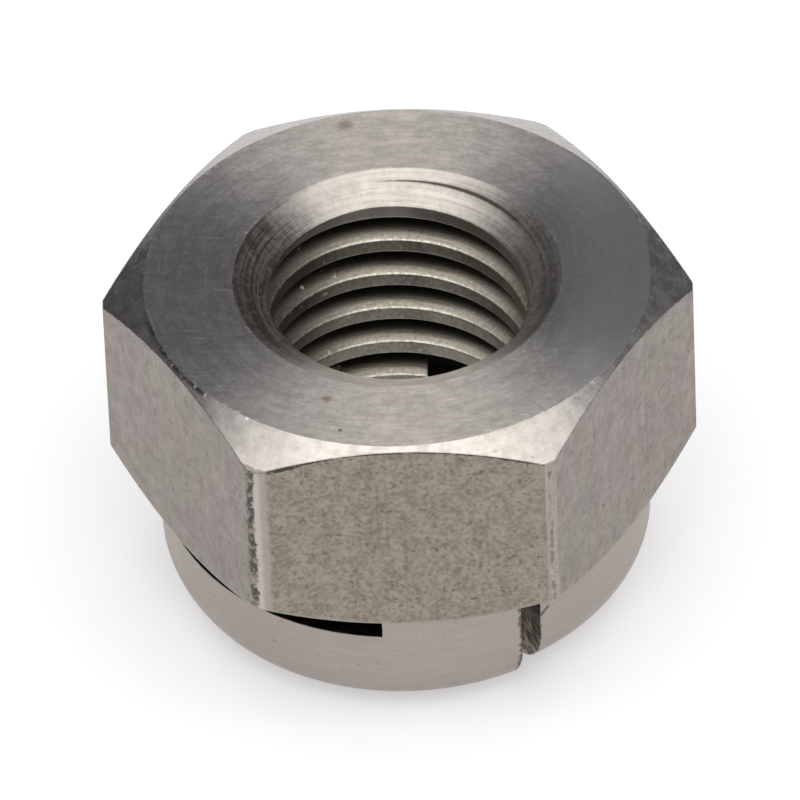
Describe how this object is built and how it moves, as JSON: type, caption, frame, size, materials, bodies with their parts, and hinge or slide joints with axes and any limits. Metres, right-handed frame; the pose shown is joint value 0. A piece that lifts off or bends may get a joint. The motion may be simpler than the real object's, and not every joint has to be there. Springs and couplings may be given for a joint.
{
  "type": "lock nut",
  "caption": "Hexagon lock nut with a slotted, rounded collar whose bent arms grip the screw thread.",
  "frame": {"origin": "centre of the collar end, on the surface the nut stands on", "axes": "+Z along the thread axis, from the collar end to the bearing face; flats face +Y and -Y, corners point to +X and -X"},
  "size_m": [0.0194, 0.017, 0.0122],
  "materials": {
    "steel": "machined stainless steel: turned bearing face and collar, drawn flats"
  },
  "bodies": {
    "root": {"lock_nut": "steel"}
  },
  "joints": []
}
